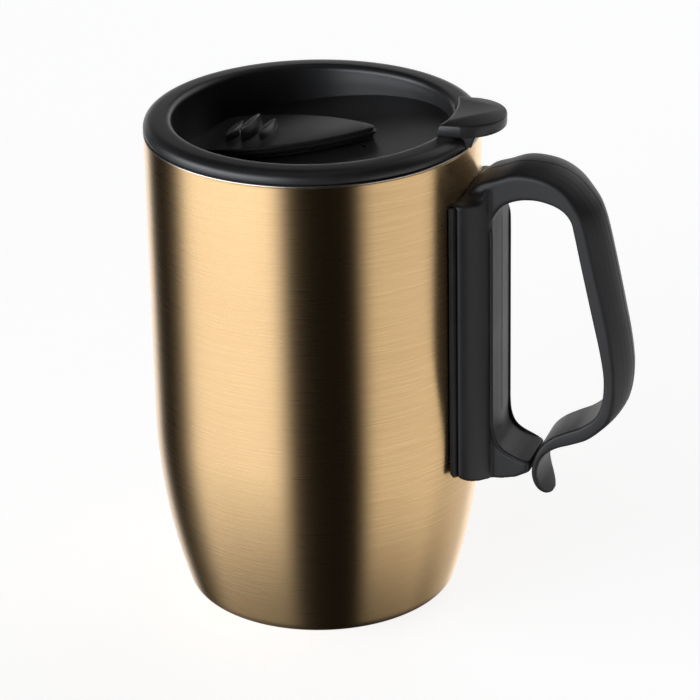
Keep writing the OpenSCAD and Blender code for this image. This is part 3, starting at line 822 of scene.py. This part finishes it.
# Fine parting line of the mould along the middle of the outward face, the arch and the grip.
LINE_R, LINE_SUNK = 0.17, 0.1
skin = BVHTree.FromPolygons([v.co for v in handle.data.vertices],
                            [p.vertices for p in handle.data.polygons])


def on_skin(points, depth):
    """Points moved onto the skin and then sunk below it."""
    out = []
    for p in points:
        near, normal = skin.find_nearest(Vector(np.asarray(p) * MM))[:2]
        out.append((near.x / MM - normal.x * depth, 0.0, near.z / MM - normal.z * depth))
    return out


face_line = [(BAR_X + 0.3, 0, z) for z in np.linspace(54, 107, 28)]
crown_line = [(x, 0, cap_height(x, 0)) for x in (43.4, 44.4, 45.4)]
for k in smooth_through(GRIP_KNOTS[2:], 6)[:-8]:
    out_way = np.array(k[2:4]) - np.array(k[0:2])
    tip = np.array(k[2:4]) + out_way / np.linalg.norm(out_way) * k[5]
    crown_line.append((tip[0], 0, tip[1]))
lines = [tube("line", on_skin(points, LINE_SUNK), LINE_R, 8) for points in (face_line, crown_line)]
combine(handle, beads + lines, "UNION", 60, "MANIFOLD")
cut_off(handle, True)
finish_piece(handle, "mug", ["handle_grip"], HANDLE_BLACK)

clip = whole_strap
clip.name = clip.data.name = "handle_clip_strap"
bm = bmesh.new()
bm.from_mesh(clip.data)
bmesh.ops.delete(bm, geom=[v for v in bm.verts if v.co.z > CLIP_BELOW_Z * MM], context="VERTS")
bmesh.ops.holes_fill(bm, edges=[e for e in bm.edges if e.is_boundary], sides=0)
bm.to_mesh(clip.data)
bm.free()
cut_off(clip, False)
finish_piece(clip, None, ["handle_clip"], HANDLE_BLACK)
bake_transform(clip)

# Mounting strip between the cup and the bar.
SEAT_IN, SEAT_EDGE = RIM_R + 0.3, 0.28
seat_rings = []
for angle in np.linspace(-SEAT_ANGLE, SEAT_ANGLE, 40):
    low_in, low_out = (foot_z(r * cos(angle)) - 0.2 for r in (SEAT_IN, SEAT_R))
    corners = [(SEAT_IN, low_in, SEAT_EDGE), (SEAT_R, low_out, SEAT_EDGE),
               (SEAT_R, BAR_TOP, SEAT_EDGE), (SEAT_IN, BAR_TOP, SEAT_EDGE)]
    seat_rings.append([(r * cos(angle), r * sin(angle), z)
                       for r, z in rounded(corners, closed=True, steps=3)])
seat = loft("handle_mounting_strip", seat_rings, sharp=40)
finish_piece(seat, "mug", ["handle_seat"], SEAT_BLACK)

# ---------------------------------------------------------------- CAD nodes that keep their shape

for node, mat in (("shell_bottom", HIDDEN_STEEL), ("vacuum_seal", SOLDER), ("getter", GETTER),
                  ("base_disc", BASE_STEEL), ("handle_rail", RAIL_STEEL), ("handle_screw", SCREW_STEEL),
                  ("slider_seal", SEAL), ("slider_retainer", RETAINER_BLACK)):
    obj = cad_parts[node]
    if not obj.material_slots:
        obj.data.materials.append(mat)
    for s in obj.material_slots:
        s.material = mat

# ---------------------------------------------------------------- studio

floor = make("studio_floor", [(-4000, -4000, 0), (4000, -4000, 0), (4000, 4000, 0), (-4000, 4000, 0)],
             [(0, 1, 2, 3)])
floor_mat, ft, floor_coords, floor_shader = start_material("pale_floor", Roughness=0.7)
floor_tone = ft.span(ft.noise(floor_coords, 3.0), 0.0, 1.0)
floor_mat.node_tree.links.new(ft.blend_colours(floor_tone, (0.34, 0.34, 0.34, 1), (0.36, 0.36, 0.36, 1)),
                              floor_shader.inputs["Base Color"])
floor_shader.inputs["Emission Color"].default_value = (1, 1, 1, 1)
floor_shader.inputs["Emission Strength"].default_value = 0.84
floor.data.materials.append(floor_mat)
floor.visible_glossy = False
floor.visible_shadow = False

VIEW_TURN, VIEW_RISE, VIEW_ROLL = radians(18.5), radians(24.16), radians(1.129)
FRONT = VIEW_TURN - pi / 2

world = bpy.data.worlds.new("soft_studio")
bpy.context.scene.world = world
world.use_nodes = True
world.node_tree.nodes.clear()
w = Tree(world.node_tree)
xyz = w.add("ShaderNodeSeparateXYZ", {0: w.add("ShaderNodeTexCoord").outputs["Generated"]}).outputs
azimuth = w.math("ARCTAN2", xyz[1], xyz[0])
elevation = w.math("ARCSINE", xyz[2])


def ramp(value, low, high, start, end):
    """Eases from start to end while the value runs from low to high degrees."""
    return w.add("ShaderNodeMapRange", {"Value": value, "From Min": radians(low), "From Max": radians(high),
                                        "To Min": start, "To Max": end},
                 interpolation_type="SMOOTHSTEP").outputs["Result"]


def light_panel(centre, half, soft, bottom, top, fade, strength):
    """Soft light panel. Its centre is in degrees to the right of the line from the cup to the camera."""
    turn = w.math("SUBTRACT", azimuth, FRONT + radians(centre))
    away = w.math("ABSOLUTE", w.math("WRAP", turn, pi, -pi))
    across = ramp(away, half - soft, half + soft, strength, 0.0)
    rise = ramp(elevation, bottom - fade, bottom + fade, 0.0, 1.0)
    fall = ramp(elevation, top - fade, top + fade, 1.0, 0.0)
    return w.math("MULTIPLY", across, w.math("MULTIPLY", rise, fall))


def lit_by(panels, start):
    """Sum of the panels' light, on top of start."""
    total = start
    for panel in panels:
        total = w.math("ADD", total, light_panel(*panel))
    return total


# Panels: centre, half width, edge softness, bottom, top, end softness, strength.
cool = lit_by([(-61.5, 38, 8, -41, -6, 9, 0.9), (-61.5, 38, 10, -4, 22, 7, 6.2)], 0.0)
neutral = lit_by([(63, 29, 8, -43, -6, 7, 1.1), (118, 27, 8, -40, -6, 7, 0.85),
                  (135, 30, 10, 12, 45, 8, 1.3), (178, 34, 6, -36, 12, 6, 1.4)],
                 w.math("ADD", ramp(elevation, 60, 85, 0.0, 0.3), 0.006))
studio = w.add("ShaderNodeAddShader", {
    0: w.add("ShaderNodeBackground", {"Color": (0.98, 1.01, 1.07, 1), "Strength": cool}).outputs[0],
    1: w.add("ShaderNodeBackground", {"Color": (1, 1, 1, 1), "Strength": neutral}).outputs[0]}).outputs[0]
pale = w.add("ShaderNodeBackground", {"Color": (1, 1, 1, 1), "Strength": 1.0}).outputs[0]
seen = w.add("ShaderNodeLightPath").outputs["Is Camera Ray"]
mixed = w.add("ShaderNodeMixShader", {0: seen, 1: studio, 2: pale}).outputs[0]
w.add("ShaderNodeOutputWorld", {"Surface": mixed})

# Camera at the picture's angle, placed in metres.
CAMERA_AT = (0.25435, -0.73402, 0.4126)
camera_data = bpy.data.cameras.new("camera")
camera_data.lens, camera_data.sensor_width = 169.71, 36.0
camera_data.clip_start, camera_data.clip_end = 0.05, 20.0
camera = bpy.data.objects.new("camera", camera_data)
bpy.context.scene.collection.objects.link(camera)
forward = Vector((-sin(VIEW_TURN) * cos(VIEW_RISE), cos(VIEW_TURN) * cos(VIEW_RISE), -sin(VIEW_RISE)))
right = Vector((cos(VIEW_TURN), sin(VIEW_TURN), 0))
up = right.cross(forward)
axis_x = right * cos(VIEW_ROLL) - up * sin(VIEW_ROLL)
axis_y = right * sin(VIEW_ROLL) + up * cos(VIEW_ROLL)
camera.matrix_world = Matrix.Translation(CAMERA_AT) @ Matrix(
    (axis_x, axis_y, -forward)).transposed().to_4x4()
bpy.context.scene.camera = camera
bpy.context.scene.view_settings.view_transform = "Standard"

bpy.context.view_layer.update()
